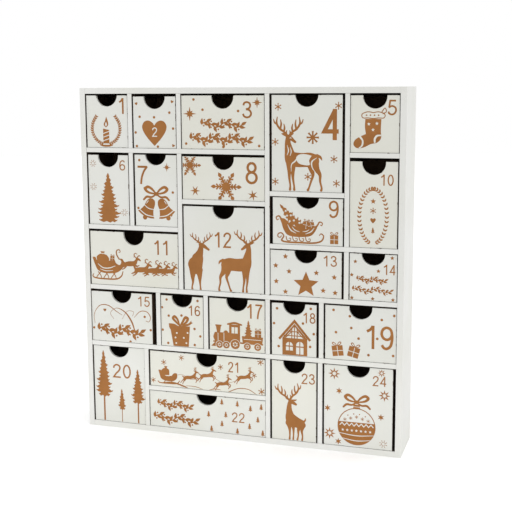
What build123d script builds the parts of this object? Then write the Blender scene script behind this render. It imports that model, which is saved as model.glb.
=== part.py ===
from build123d import *

import os
from dataclasses import dataclass

# A wooden advent calendar: a shallow white cabinet of thin boards, divided into
# cells of many sizes, with a loose drawer in each of its twenty-four cells.
# Millimetres, +Z up. The drawers open towards -Y. The origin is the middle of
# the footprint, on the surface that the calendar stands on.

# Boards of the cabinet
PANEL = 5.5  # thickness of the four outer boards
BOARD = 4.5  # thickness of the dividers and shelves
DEPTH = 56.0  # front edge to back face
BACK = 3.0  # thickness of the back panel
REBATE = 3.0  # how far the back panel is let into each outer board

# Joints between the boards
HOUSING = 1.5  # depth of the groove that takes a board's end
SETBACK = 8.0  # the grooves stop this far behind the front edges
FIT = 0.05  # glue line between any two boards

# Clear heights of the three bays, from the top down
UPPER_BAY = 188.0
MIDDLE_BAY = 53.1
LOWER_BAY = 78.9

# Clear widths of the four columns of the upper bay
FIRST_COLUMN = 94.9
SECOND_COLUMN = 82.8
THIRD_COLUMN = 70.8
FOURTH_COLUMN = 45.0

# Clear widths of single cells, named by drawer
WIDTH_1 = 44.8
WIDTH_15 = 70.4
WIDTH_16 = 45.0
WIDTH_18 = 47.5
WIDTH_20 = 56.7
WIDTH_23 = 46.7

# Clear heights of single cells, named by drawer
HEIGHT_1 = 52.0
HEIGHT_4 = 89.8
HEIGHT_5 = 53.0
HEIGHT_6 = 71.0
HEIGHT_8 = 43.4
HEIGHT_9 = 44.8
HEIGHT_21 = 37.1

# Drawers
RECESS = 0.8  # drawer fronts lie this far behind the cabinet's front edges
RUN = 0.2  # running gap under a drawer
REAR_GAP = 0.3  # between a closed drawer and the back panel, which stops it
FRONT = 3.0  # thickness of a drawer front
WALL = 2.5  # thickness of a tray's sides, back and floor
TRAY_INSET = 0.4  # a tray is this much narrower than its front, on each side
WALL_DROP = 2.0  # a tray's walls end this far below the top of its front
NOTCH_RADIUS = 10.8  # half-round finger notch in the top edge of each front

# Loose fit of each drawer front in its cell: gaps at its left, right and top
GAPS = {
    1: (0.9, 0.5, 1.6),
    2: (1.1, 0.8, 2.7),
    3: (0.6, 0.6, 1.8),
    4: (2.0, 2.5, 1.5),
    5: (0.3, 0.7, 1.9),
    6: (1.1, 1.0, 2.5),
    7: (1.4, 0.6, 1.6),
    8: (0.7, 0.4, 2.4),
    9: (2.9, 1.4, 0.9),
    10: (0.3, 1.3, 3.2),
    11: (0.9, 0.7, 2.3),
    12: (1.1, 1.3, 1.9),
    13: (0.4, 2.2, 1.1),
    14: (0.6, 0.8, 0.8),
    15: (0.3, 4.7, 2.4),
    16: (0.3, 0.7, 2.4),
    17: (1.3, 0.7, 1.9),
    18: (1.7, 2.4, 2.7),
    19: (1.4, 0.4, 1.6),
    20: (1.1, 0.3, 0.5),
    21: (1.4, 0.8, 1.5),
    22: (0.3, 0.3, 0.6),
    23: (1.6, 1.5, 0.9),
    24: (1.5, 2.8, 0.8),
}

# Depth of each finger notch: all were cut with one tool, some less deep than others
NOTCH_DEPTHS = {
    1: 10.6, 2: 11.8, 3: 12.3, 4: 10.7, 5: 11.8, 6: 11.8, 7: 10.0, 8: 12.3,
    9: 10.0, 10: 12.0, 11: 12.8, 12: 11.7, 13: 11.6, 14: 10.7, 15: 11.0, 16: 11.1,
    17: 11.9, 18: 11.0, 19: 11.9, 20: 11.0, 21: 12.4, 22: 10.3, 23: 11.7, 24: 10.6,
}

# Brads that hold the back panel
BRAD_RADIUS = 0.5
BRAD_LENGTH = 14.0
BRAD_HEAD_RADIUS = 1.1
BRAD_HEAD = 0.6
BRAD_CLEARANCE = 0.05

# Overall sizes that follow from the cells
WIDTH = 2 * PANEL + 3 * BOARD + FIRST_COLUMN + SECOND_COLUMN + THIRD_COLUMN + FOURTH_COLUMN
HEIGHT = 2 * PANEL + 2 * BOARD + UPPER_BAY + MIDDLE_BAY + LOWER_BAY
Y_FRONT = -DEPTH / 2
Y_BACK = DEPTH / 2
Y_INNER = Y_BACK - BACK  # front face of the back panel
Y_LAP = (Y_FRONT + Y_INNER) / 2  # crossing boards are slotted to here


@dataclass(frozen=True)
class Board:
    """A board seen from the front, by its clear edges, without its tongues."""

    left: float
    right: float
    bottom: float
    top: float
    back: float = Y_INNER - FIT
    housed: str = ""  # "ends" for a shelf, "tips" for a divider, nothing for a side


def shelf(bottom, left, right):
    """A shelf on top of the height bottom, between two upright boards."""
    return Board(left.right + FIT, right.left - FIT, bottom, bottom + BOARD, housed="ends")


def divider(left, below, above):
    """An upright divider with its left face at left, between two level boards."""
    return Board(left, left + BOARD, below.top + FIT, above.bottom - FIT, housed="tips")


# Outer boards: the sides run the full height, the top and bottom lie between them
left_side = Board(-WIDTH / 2, -WIDTH / 2 + PANEL, 0, HEIGHT, Y_BACK)
right_side = Board(WIDTH / 2 - PANEL, WIDTH / 2, 0, HEIGHT, Y_BACK)
inner_left, inner_right = left_side.right + FIT, right_side.left - FIT
bottom_panel = Board(inner_left, inner_right, 0, PANEL, Y_BACK, "ends")
top_panel = Board(inner_left, inner_right, HEIGHT - PANEL, HEIGHT, Y_BACK, "ends")

# The two full-width shelves and the full-height divider
lower_shelf = shelf(bottom_panel.top + LOWER_BAY, left_side, right_side)
middle_shelf = shelf(lower_shelf.top + MIDDLE_BAY, left_side, right_side)
centre_left = left_side.right + FIRST_COLUMN + BOARD + SECOND_COLUMN
centre_divider = divider(centre_left, bottom_panel, top_panel)

# Upper bay: two long dividers, and the shelves between them
left_divider = divider(left_side.right + FIRST_COLUMN, middle_shelf, top_panel)
right_divider = divider(centre_divider.right + THIRD_COLUMN, middle_shelf, top_panel)
under_1 = shelf(top_panel.bottom - HEIGHT_1 - BOARD, left_side, centre_divider)
under_6 = shelf(under_1.bottom - HEIGHT_6 - BOARD, left_side, left_divider)
under_8 = shelf(under_1.bottom - HEIGHT_8 - BOARD, left_divider, centre_divider)
under_4 = shelf(top_panel.bottom - HEIGHT_4 - BOARD, centre_divider, right_divider)
under_9 = shelf(under_4.bottom - HEIGHT_9 - BOARD, centre_divider, right_side)
under_5 = shelf(top_panel.bottom - HEIGHT_5 - BOARD, right_divider, right_side)
divider_1_2 = divider(left_side.right + WIDTH_1, under_6, top_panel)

# Middle and lower bays
divider_15_16 = divider(left_side.right + WIDTH_15, lower_shelf, middle_shelf)
divider_16_17 = divider(divider_15_16.right + WIDTH_16, lower_shelf, middle_shelf)
divider_18_19 = divider(centre_divider.right + WIDTH_18, lower_shelf, middle_shelf)
divider_20_21 = divider(left_side.right + WIDTH_20, bottom_panel, lower_shelf)
divider_23_24 = divider(centre_divider.right + WIDTH_23, bottom_panel, lower_shelf)
under_21 = shelf(lower_shelf.bottom - HEIGHT_21 - BOARD, divider_20_21, centre_divider)

# The boards by group
SIDES = (left_side, right_side, bottom_panel, top_panel)
LONG_BOARDS = (centre_divider, middle_shelf, lower_shelf)
UPPER_DIVIDERS = (left_divider, right_divider, divider_1_2)
LOWER_DIVIDERS = (divider_15_16, divider_16_17, divider_18_19, divider_20_21, divider_23_24)
SHORT_SHELVES = (under_1, under_4, under_5, under_6, under_8, under_9, under_21)
BOARDS = SIDES + LONG_BOARDS + UPPER_DIVIDERS + LOWER_DIVIDERS + SHORT_SHELVES

# Where two boards cross, as (divider, shelf): both are slotted and slide together
CROSSINGS = [
    (centre_divider, middle_shelf),
    (centre_divider, lower_shelf),
    (divider_1_2, under_1),
    (left_divider, under_1),
    (right_divider, under_9),
]

# Which boards stand round each drawer: left, right, below, above
CELLS = {
    1: (left_side, divider_1_2, under_1, top_panel),
    2: (divider_1_2, left_divider, under_1, top_panel),
    3: (left_divider, centre_divider, under_1, top_panel),
    4: (centre_divider, right_divider, under_4, top_panel),
    5: (right_divider, right_side, under_5, top_panel),
    6: (left_side, divider_1_2, under_6, under_1),
    7: (divider_1_2, left_divider, under_6, under_1),
    8: (left_divider, centre_divider, under_8, under_1),
    9: (centre_divider, right_divider, under_9, under_4),
    10: (right_divider, right_side, under_9, under_5),
    11: (left_side, left_divider, middle_shelf, under_6),
    12: (left_divider, centre_divider, middle_shelf, under_8),
    13: (centre_divider, right_divider, middle_shelf, under_9),
    14: (right_divider, right_side, middle_shelf, under_9),
    15: (left_side, divider_15_16, lower_shelf, middle_shelf),
    16: (divider_15_16, divider_16_17, lower_shelf, middle_shelf),
    17: (divider_16_17, centre_divider, lower_shelf, middle_shelf),
    18: (centre_divider, divider_18_19, lower_shelf, middle_shelf),
    19: (divider_18_19, right_side, lower_shelf, middle_shelf),
    20: (left_side, divider_20_21, bottom_panel, lower_shelf),
    21: (divider_20_21, centre_divider, under_21, lower_shelf),
    22: (divider_20_21, centre_divider, bottom_panel, under_21),
    23: (centre_divider, divider_23_24, bottom_panel, lower_shelf),
    24: (divider_23_24, right_side, bottom_panel, lower_shelf),
}


def block(low, high, mode=Mode.ADD):
    """Add to, or cut from, the part being built a box between two corners."""
    with Locations(tuple((a + b) / 2 for a, b in zip(low, high))):
        Box(*(b - a for a, b in zip(low, high)), mode=mode)


def tongues(board):
    """The two ends of a board that stand in grooves, as boxes (low, high)."""
    y0, y1 = Y_FRONT + SETBACK, Y_INNER - FIT
    if board.housed == "ends":
        return [
            ((board.left - HOUSING, y0, board.bottom), (board.left, y1, board.top)),
            ((board.right, y0, board.bottom), (board.right + HOUSING, y1, board.top)),
        ]
    if board.housed == "tips":
        return [
            ((board.left, y0, board.bottom - HOUSING), (board.right, y1, board.bottom)),
            ((board.left, y0, board.top), (board.right, y1, board.top + HOUSING)),
        ]
    return []


def grown(box):
    """A box with a glue line added on every side."""
    low, high = box
    return [a - FIT for a in low], [b + FIT for b in high]


def reaches(box, board):
    """True if a box comes into a board's clear outline."""
    (x0, _, z0), (x1, _, z1) = box
    return x0 < board.right and x1 > board.left and z0 < board.top and z1 > board.bottom


def make_board(board):
    """A board with its tongues, its grooves for other boards and its half-lap slots."""
    others = [other for other in BOARDS if other is not board]
    grooves = [grown(box) for other in others for box in tongues(other)]
    with BuildPart() as made:
        block((board.left, Y_FRONT, board.bottom), (board.right, board.back, board.top))
        for low, high in tongues(board):
            block(low, high)
        for low, high in grooves:
            if reaches((low, high), board):
                block(low, high, Mode.SUBTRACT)
        for upright, level in CROSSINGS:
            if board is upright:
                low = (board.left, Y_FRONT, level.bottom - FIT)
                block(low, (board.right, Y_LAP + FIT, level.top + FIT), Mode.SUBTRACT)
            if board is level:
                low = (upright.left - FIT, Y_LAP, board.bottom)
                block(low, (upright.right + FIT, Y_BACK, board.top), Mode.SUBTRACT)
    return made.part


def brad_places():
    """Middle of each outer cell along the four edges of the back panel, as (x, z)."""
    edge = REBATE / 2
    places = []
    for numbers, x in (
        ((1, 6, 11, 15, 20), left_side.right - edge),
        ((5, 10, 14, 19, 24), right_side.left + edge),
    ):
        for number in numbers:
            below, above = CELLS[number][2:]
            places.append((x, (below.top + above.bottom) / 2))
    for numbers, z in (
        ((1, 2, 3, 4, 5), top_panel.bottom + edge),
        ((20, 22, 23, 24), bottom_panel.top - edge),
    ):
        for number in numbers:
            left, right = CELLS[number][:2]
            places.append(((left.right + right.left) / 2, z))
    return places


def drill_for_brads():
    """Cut the brads' holes in the part being built, with a sunk seat for each head."""
    for x, z in brad_places():
        with Locations(Plane((x, Y_BACK, z), x_dir=(1, 0, 0), z_dir=(0, 1, 0))):
            CounterBoreHole(
                radius=BRAD_RADIUS + BRAD_CLEARANCE,
                counter_bore_radius=BRAD_HEAD_RADIUS + BRAD_CLEARANCE,
                counter_bore_depth=BRAD_HEAD + BRAD_CLEARANCE,
                depth=BRAD_LENGTH + BRAD_CLEARANCE,
            )


def make_outer_board(board):
    """An outer board, rebated for the back panel and drilled for its brads."""
    plain = make_board(board)
    seat_low = (left_side.right - REBATE, Y_INNER - FIT, bottom_panel.top - REBATE)
    seat_high = (right_side.left + REBATE, Y_BACK, top_panel.bottom + REBATE)
    with BuildPart() as made:
        add(plain)
        block(seat_low, seat_high, Mode.SUBTRACT)
        drill_for_brads()
    return made.part


def front_outline(number):
    """A drawer front's edges as it lies closed: left, right, bottom, top."""
    left, right, below, above = CELLS[number]
    gap_left, gap_right, gap_top = GAPS[number]
    return left.right + gap_left, right.left - gap_right, below.top + RUN, above.bottom - gap_top


def make_front(number):
    """A drawer's front board with its half-round finger notch."""
    left, right, bottom, top = front_outline(number)
    middle = (left + right) / 2
    notch_bottom = top - NOTCH_DEPTHS[number]
    notch_centre = notch_bottom + NOTCH_RADIUS
    with BuildPart() as front:
        with BuildSketch(Plane.XZ.offset(-Y_FRONT - RECESS)):
            with Locations((middle, (bottom + top) / 2)):
                Rectangle(right - left, top - bottom)
            with Locations((middle, notch_centre)):
                Circle(NOTCH_RADIUS, mode=Mode.SUBTRACT)
                Rectangle(
                    2 * NOTCH_RADIUS,
                    NOTCH_DEPTHS[number],
                    align=(Align.CENTER, Align.MIN),
                    mode=Mode.SUBTRACT,
                )
        extrude(amount=-FRONT)
    return front.part


def make_tray(number):
    """The box behind a drawer front: floor, two sides and a back, with glue lines."""
    left, right, bottom, top = front_outline(number)
    x0, x1 = left + TRAY_INSET, right - TRAY_INSET
    y0 = Y_FRONT + RECESS + FRONT + FIT
    y1 = Y_INNER - REAR_GAP
    wall_top = top - WALL_DROP
    with BuildPart() as tray:
        block((x0, y0, bottom), (x0 + WALL, y1, wall_top))
        block((x1 - WALL, y0, bottom), (x1, y1, wall_top))
        block((x0 + WALL + FIT, y0, bottom), (x1 - WALL - FIT, y1, bottom + WALL))
        block(
            (x0 + WALL + FIT, y1 - WALL, bottom + WALL + FIT),
            (x1 - WALL - FIT, y1, wall_top),
        )
    return tray.part


os.makedirs("parts", exist_ok=True)


def save(part, name):
    """Label a finished piece and write it to its own file."""
    part.label = name
    export_step(part, f"parts/{name}.step")


# Outer boards
for name, board in (
    ("left_side", left_side),
    ("right_side", right_side),
    ("top_panel", top_panel),
    ("bottom_panel", bottom_panel),
):
    save(make_outer_board(board), name)

# Long inner boards
for name, board in (
    ("centre_divider", centre_divider),
    ("middle_shelf", middle_shelf),
    ("lower_shelf", lower_shelf),
):
    save(make_board(board), name)

# Shorter inner boards, in three groups of separate boards
for name, boards in (
    ("upper_dividers", UPPER_DIVIDERS),
    ("lower_dividers", LOWER_DIVIDERS),
    ("short_shelves", SHORT_SHELVES),
):
    pieces = [make_board(board) for board in boards]
    with BuildPart() as group:
        add(pieces)
    save(group.part, name)

# Back panel, in the rebates of the outer boards
with BuildPart() as back_panel:
    block(
        (left_side.right - REBATE + FIT, Y_INNER, bottom_panel.top - REBATE + FIT),
        (right_side.left + REBATE - FIT, Y_BACK, top_panel.bottom + REBATE - FIT),
    )
    drill_for_brads()
save(back_panel.part, "back_panel")

# Brads, with their heads level with the back
with BuildPart() as back_panel_brads:
    for x, z in brad_places():
        with Locations(Plane((x, Y_BACK, z), x_dir=(1, 0, 0), z_dir=(0, -1, 0))):
            Cylinder(BRAD_RADIUS, BRAD_LENGTH, align=(Align.CENTER, Align.CENTER, Align.MIN))
            Cylinder(BRAD_HEAD_RADIUS, BRAD_HEAD, align=(Align.CENTER, Align.CENTER, Align.MIN))
save(back_panel_brads.part, "back_panel_brads")

# Drawers
for number in CELLS:
    save(make_front(number), f"drawer_{number:02d}_front")
    save(make_tray(number), f"drawer_{number:02d}_tray")
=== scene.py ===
import math

import bpy
import numpy as np
from mathutils import Matrix, Vector
from mathutils.geometry import delaunay_2d_cdt


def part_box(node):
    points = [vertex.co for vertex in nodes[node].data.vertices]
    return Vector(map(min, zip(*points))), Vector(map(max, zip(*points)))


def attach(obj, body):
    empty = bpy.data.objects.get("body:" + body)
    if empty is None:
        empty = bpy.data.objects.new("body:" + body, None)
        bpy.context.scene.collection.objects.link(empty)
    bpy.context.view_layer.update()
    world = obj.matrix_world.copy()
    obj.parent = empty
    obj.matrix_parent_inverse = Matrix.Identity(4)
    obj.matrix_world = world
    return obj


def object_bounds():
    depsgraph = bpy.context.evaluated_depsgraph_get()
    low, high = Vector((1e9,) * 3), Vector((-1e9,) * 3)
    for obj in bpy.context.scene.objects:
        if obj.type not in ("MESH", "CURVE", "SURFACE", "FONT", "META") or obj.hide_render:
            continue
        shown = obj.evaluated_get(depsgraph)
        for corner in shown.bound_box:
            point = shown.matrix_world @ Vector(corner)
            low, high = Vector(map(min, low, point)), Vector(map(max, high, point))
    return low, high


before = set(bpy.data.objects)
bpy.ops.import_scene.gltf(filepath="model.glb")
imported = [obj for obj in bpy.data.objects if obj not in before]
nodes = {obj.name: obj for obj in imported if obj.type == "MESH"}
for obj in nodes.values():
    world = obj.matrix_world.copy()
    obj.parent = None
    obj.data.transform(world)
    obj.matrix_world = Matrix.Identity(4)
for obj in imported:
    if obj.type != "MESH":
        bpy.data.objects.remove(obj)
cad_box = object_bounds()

MM = 0.001
NUMBERS = range(1, 25)

# Camera, fitted to the photograph's outer corners; places in metres
CAMERA_PLACE = Vector((0.2894, -0.8854, 0.3417))
CAMERA_YAW = math.radians(17.498)
CAMERA_PITCH = math.radians(8.444)
CAMERA_ROLL = math.radians(-0.296)
CAMERA_LENS = 68.27
CAMERA_SHIFT = (0.0017, -0.0517)
CAMERA_CLIP = 0.01

# Light and stage
WHITE = (1.0, 1.0, 1.0, 1.0)
WORLD_LIGHT = 1.0
LAMP_LIGHT = 0.8
LAMP_SPREAD = math.radians(60)
LAMP_LEAN = math.radians(22)
# Soft boxes: place, the point each faces, width and height, and watts
LEFT_SOFTBOX = Vector((-0.35, -0.2, 0.24)), Vector((-0.1, -0.03, 0.2)), (0.2, 0.3), 0.11
LOW_SOFTBOX = Vector((0.0, -0.15, 0.03)), Vector((0.0, -0.03, 0.0)), (0.4, 0.05), 0.06
FLOOR_RADIUS = 4.0
FLOOR_SIDES = 96
FLOOR_TONE = (0.97, 0.97, 0.97)
FLOOR_ROUGHNESS = 0.9

# Softened edges of the boards, in metres
ARRIS = 0.3 * MM
TRAY_ARRIS = 0.2 * MM
ARRIS_SEGMENTS = 2
SHARP_ANGLE = math.radians(40)
FLAT_ANGLE = math.radians(1)
WELD_DISTANCE = 0.001 * MM

# Finger notch of a drawer front, as in the CAD, at its deepest; the prints are drawn in millimetres
NOTCH_RADIUS = 10.8
NOTCH_DEPTH = 12.8
NOTCH_REACH = 1.1 * NOTCH_RADIUS * MM  # the notch's walls lie this near to the middle of the front

# Prints: bare margin along the edges, and thickness above and below the front's face
PRINT_MARGIN = 0.5
PRINT_PROUD = 0.05
PRINT_SUNK = 0.1
PRINT_MERGE = 0.001  # points of a drawing nearer than this become one
WHOLE_HULL = 0  # kind of triangulation that fills the hull of the points


def add_object(name, data):
    """A new object in the scene."""
    piece = bpy.data.objects.new(name, data)
    bpy.context.collection.objects.link(piece)
    return piece


def set_camera():
    """The photograph's camera."""
    data = bpy.data.cameras.new("camera")
    data.lens = CAMERA_LENS
    data.shift_x, data.shift_y = CAMERA_SHIFT
    data.clip_start = CAMERA_CLIP
    camera = add_object("camera", data)
    turn = Matrix.Rotation(CAMERA_YAW, 4, "Z")
    tilt = Matrix.Rotation(math.pi / 2 - CAMERA_PITCH, 4, "X")
    roll = Matrix.Rotation(CAMERA_ROLL, 4, "Z")
    camera.matrix_world = Matrix.Translation(CAMERA_PLACE) @ turn @ tilt @ roll
    bpy.context.scene.camera = camera


def set_light():
    """A white surround, a broad lamp overhead that leans to the right, and two soft boxes."""
    world = bpy.data.worlds.new("studio")
    bpy.context.scene.world = world
    world.use_nodes = True
    background = world.node_tree.nodes["Background"]
    background.inputs["Color"].default_value = WHITE
    background.inputs["Strength"].default_value = WORLD_LIGHT
    lamp = bpy.data.lights.new("overhead", "SUN")
    lamp.energy = LAMP_LIGHT
    lamp.angle = LAMP_SPREAD
    add_object("overhead", lamp).rotation_euler = (0.0, LAMP_LEAN, 0.0)
    for place, target, size, watts in (LEFT_SOFTBOX, LOW_SOFTBOX):
        panel = bpy.data.lights.new("softbox", "AREA")
        panel.shape = "RECTANGLE"
        panel.size, panel.size_y = size
        panel.energy = watts
        softbox = add_object("softbox", panel)
        softbox.visible_camera = False
        aim = (target - place).to_track_quat("-Z", "Y")
        softbox.matrix_world = Matrix.Translation(place) @ aim.to_matrix().to_4x4()


def set_floor():
    """A plain pale floor."""
    bpy.ops.mesh.primitive_circle_add(vertices=FLOOR_SIDES, radius=FLOOR_RADIUS, fill_type="NGON")
    floor = bpy.context.object
    floor.name = "floor"
    floor.data.materials.append(floor_material())


# Colour sockets of a mixing node, by place
MIX_FIRST, MIX_SECOND, MIX_RESULT = 6, 7, 2


class Shader:
    """A node material being built: one glossy surface and the nodes that feed it."""

    def __init__(self, name):
        self.material = bpy.data.materials.new(name)
        self.material.use_nodes = True
        self.tree = self.material.node_tree
        self.place = self.add("ShaderNodeTexCoord", {}).outputs["Object"]

    def feed(self, node, sockets):
        """Sets a node's sockets to values and colours, or links them to other nodes' outputs."""
        for key, value in sockets.items():
            socket = node.inputs[key]
            if isinstance(value, bpy.types.NodeSocket):
                self.tree.links.new(value, socket)
            else:
                socket.default_value = (*value, 1.0) if socket.type == "RGBA" else value

    def add(self, kind, sockets, **settings):
        """A node with its settings made and its sockets fed."""
        node = self.tree.nodes.new(kind)
        for key, value in settings.items():
            setattr(node, key, value)
        self.feed(node, sockets)
        return node

    def noise(self, grains, octaves, stretch=(1, 1, 1)):
        """Smooth noise of so many grains to the metre, with finer octaves, stretched along the axes."""
        mapping = self.add("ShaderNodeMapping", {"Vector": self.place, "Scale": stretch})
        sockets = {"Vector": mapping.outputs["Vector"], "Scale": grains, "Detail": octaves}
        return self.add("ShaderNodeTexNoise", sockets).outputs["Fac"]

    def ramp(self, factor, dark, light, low=0.3, high=0.7):
        """A colour that goes from dark to light as a factor goes from low to high."""
        ramp = self.add("ShaderNodeValToRGB", {"Fac": factor})
        for element, position, colour in zip(ramp.color_ramp.elements, (low, high), (dark, light)):
            element.position = position
            element.color = (*colour, 1.0)
        return ramp.outputs["Color"]

    def mix(self, factor, first, second):
        """Two colours mixed by a factor."""
        sockets = {"Factor": factor, MIX_FIRST: first, MIX_SECOND: second}
        return self.add("ShaderNodeMix", sockets, data_type="RGBA").outputs[MIX_RESULT]

    def span(self, factor, low, high, start=0.0, end=1.0):
        """A factor from start to end spread from low to high."""
        sockets = {"Value": factor, "From Min": start, "From Max": end, "To Min": low, "To Max": high}
        return self.add("ShaderNodeMapRange", sockets).outputs["Result"]

    def bump(self, height, strength, distance):
        """Relief from a height, with its depth in metres."""
        sockets = {"Height": height, "Strength": strength, "Distance": distance}
        return self.add("ShaderNodeBump", sockets).outputs["Normal"]

    def coated(self, sockets):
        """The material, with its surface's sockets fed."""
        self.feed(self.tree.nodes["Principled BSDF"], sockets)
        return self.material


def floor_material():
    return Shader("pale_floor").coated({"Base Color": FLOOR_TONE, "Roughness": FLOOR_ROUGHNESS})


def white_paint(name, tone, worn=None):
    """Satin white paint, rolled on: a fine stipple, a tone that drifts, and bare marks where it is worn."""
    shader = Shader(name)
    creamier = tuple(share * value for share, value in zip(CREAMIER, tone))
    paint = shader.ramp(shader.noise(*PAINT_DRIFT), creamier, tone, *DRIFT_RANGE)
    if worn:
        marks = shader.span(shader.noise(*WORN_MARKS), 0.0, 1.0, worn, worn + WORN_FADE)
        paint = shader.mix(marks, paint, WORN_BROWN)
    return shader.coated({
        "Base Color": paint,
        "Roughness": shader.span(shader.noise(*PAINT_PATCHES), *PAINT_ROUGHNESS),
        "Normal": shader.bump(shader.noise(*PAINT_STIPPLE), *PAINT_RELIEF),
    })


def bare_fibreboard(name, dark, light, paint=None):
    """Fine felted fibres in two browns; paint, if any, runs a little way in from the front edges."""
    shader = Shader(name)
    fibres = shader.noise(*FELT_FIBRES, FELT_STRETCH)
    mottled = shader.ramp(fibres, dark, light)
    board = shader.mix(shader.span(shader.noise(*FELT_CLOUDS), 0.0, FELT_SHADE), mottled, dark)
    if paint:
        depth = shader.add("ShaderNodeSeparateXYZ", {"Vector": shader.place}).outputs["Y"]
        sockets = {0: shader.noise(*RAGGED_EDGE), 1: PAINT_RAGGED, 2: depth}
        ragged = shader.add("ShaderNodeMath", sockets, operation="MULTIPLY_ADD").outputs["Value"]
        limit = cad_box[0][1] + PAINT_RUN + PAINT_RAGGED / 2
        board = shader.mix(shader.span(ragged, 0.0, 1.0, limit, limit + PAINT_FADE), paint, board)
    relief = shader.bump(fibres, *FELT_RELIEF)
    return shader.coated({"Base Color": board, "Roughness": FELT_ROUGHNESS, "Normal": relief})


def copper_ink():
    """Screen-printed ink with a dull copper sheen, a little uneven."""
    shader = Shader("copper_brown_ink")
    grain = shader.noise(*INK_GRAIN)
    return shader.coated({
        "Base Color": shader.ramp(shader.noise(*INK_CLOUDS), *INK_TONES),
        "Metallic": INK_SHEEN,
        "Specular IOR Level": INK_GLOSS,
        "Roughness": shader.span(grain, *INK_ROUGHNESS),
        "Normal": shader.bump(grain, *INK_RELIEF),
    })


def steel():
    shader = Shader("bright_steel")
    streaks = shader.noise(*STEEL_STREAKS)
    return shader.coated({
        "Base Color": shader.ramp(streaks, *STEEL_TONES),
        "Metallic": 1.0,
        "Roughness": shader.span(streaks, *STEEL_ROUGHNESS),
    })


# Colours: one tone, or a dark and a light one
PAINT_TONE = (0.645, 0.645, 0.62)
COOL_TONE = (0.615, 0.618, 0.583)
CREAM_TONE = (0.615, 0.612, 0.557)
CREAMIER = (0.965, 0.965, 0.935)  # share of a white paint's tone that its patches keep
CREAM_FRONTS = 3, 5, 8, 10, 11, 16, 17, 21, 23
WORN_BROWN = (0.09, 0.055, 0.03)
# Cell walls and floors are near black: painted shade that stands for the dark deep in the gaps round the
# drawers
CELL_SHADE_TONES = (0.04, 0.027, 0.017), (0.075, 0.05, 0.032)
# Trays: raw fibreboard brown, darkened as painted shade so the inside of each notch reads dark
TRAY_SHADE_TONES = (0.07, 0.04, 0.02), (0.13, 0.078, 0.04)
CUT_TONES = (0.06, 0.032, 0.014), (0.12, 0.065, 0.03)
HARDBOARD_TONES = (0.2, 0.105, 0.045), (0.36, 0.21, 0.1)
INK_TONES = (0.262, 0.104, 0.026), (0.318, 0.131, 0.035)
STEEL_TONES = (0.42, 0.42, 0.43), (0.62, 0.62, 0.62)

# Noise: grains to the metre, and octaves
PAINT_DRIFT = 14.0, 2.0
PAINT_PATCHES = 60.0, 3.0
PAINT_STIPPLE = 900.0, 4.0
WORN_MARKS = 230.0, 4.0
FELT_FIBRES = 700.0, 6.0
FELT_CLOUDS = 45.0, 3.0
RAGGED_EDGE = 160.0, 3.0
INK_CLOUDS = 55.0, 4.0
INK_GRAIN = 1500.0, 2.0
STEEL_STREAKS = 2400.0, 2.0

# Where in the noise the tones change and the paint is worn through
DRIFT_RANGE = 0.35, 0.65
CABINET_WEAR = 0.67
DRAWER_WEAR = 0.6
WORN_FADE = 0.04
FELT_SHADE = 0.5
FELT_STRETCH = (1.0, 1.0, 2.4)

# Roughness, and relief as its strength and depth
PAINT_ROUGHNESS = 0.36, 0.5
INK_ROUGHNESS = 0.36, 0.52
STEEL_ROUGHNESS = 0.28, 0.45
FELT_ROUGHNESS = 0.82
PAINT_RELIEF = 0.12, 0.12 * MM
FELT_RELIEF = 0.35, 0.15 * MM
INK_RELIEF = 0.1, 0.05 * MM
INK_SHEEN = 0.1
INK_GLOSS = 0.2

# Paint that runs in over the front edge of a cell's floor
PAINT_RUN = 1.0 * MM
PAINT_RAGGED = 0.6 * MM
PAINT_FADE = 0.2 * MM

CABINET_PAINT = white_paint("cabinet_white_paint", PAINT_TONE)
CABINET_EDGE = white_paint("cabinet_worn_edge", PAINT_TONE, CABINET_WEAR)
COOL_PAINT = white_paint("drawer_cool_paint", COOL_TONE)
COOL_EDGE = white_paint("drawer_cool_edge", COOL_TONE, DRAWER_WEAR)
CREAM_PAINT = white_paint("drawer_cream_paint", CREAM_TONE)
CREAM_EDGE = white_paint("drawer_cream_edge", CREAM_TONE, DRAWER_WEAR)
# Bare board of the cells, darkened to near black as painted shade of the gaps
SHADED_CELL_BOARD = bare_fibreboard("cell_fibreboard_painted_shade", *CELL_SHADE_TONES)
SHADED_SHELF_TOP = bare_fibreboard("cell_floor_fibreboard_painted_shade", *CELL_SHADE_TONES, PAINT_TONE)
# Tray board: raw brown darkened as painted shade inside the drawers
SHADED_TRAY_BOARD = bare_fibreboard("tray_fibreboard_painted_shade", *TRAY_SHADE_TONES)
CUT_BOARD = bare_fibreboard("cut_fibreboard", *CUT_TONES)
HARDBOARD = bare_fibreboard("back_hardboard", *HARDBOARD_TONES)
INK = copper_ink()
STEEL = steel()

# Materials of a board, by place
PAINTED, BARE, EDGE, TOP = range(4)
BOARD_MATERIALS = CABINET_PAINT, SHADED_CELL_BOARD, CABINET_EDGE, SHADED_SHELF_TOP
FACING = 0.7  # least cosine for a face that looks one way


def soften(piece, width, edge_material=-1):
    """Rounds a board's sharp edges a little."""
    weld = piece.modifiers.new("weld", "WELD")
    weld.merge_threshold = WELD_DISTANCE
    flat = piece.modifiers.new("whole_faces", "DECIMATE")
    flat.decimate_type = "DISSOLVE"
    flat.angle_limit = FLAT_ANGLE
    flat.delimit = {"MATERIAL"}
    bevel = piece.modifiers.new("soft_edges", "BEVEL")
    bevel.width = width
    bevel.segments = ARRIS_SEGMENTS
    bevel.limit_method = "ANGLE"
    bevel.angle_limit = SHARP_ANGLE
    bevel.use_clamp_overlap = True
    bevel.harden_normals = True
    bevel.material = edge_material


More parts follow.
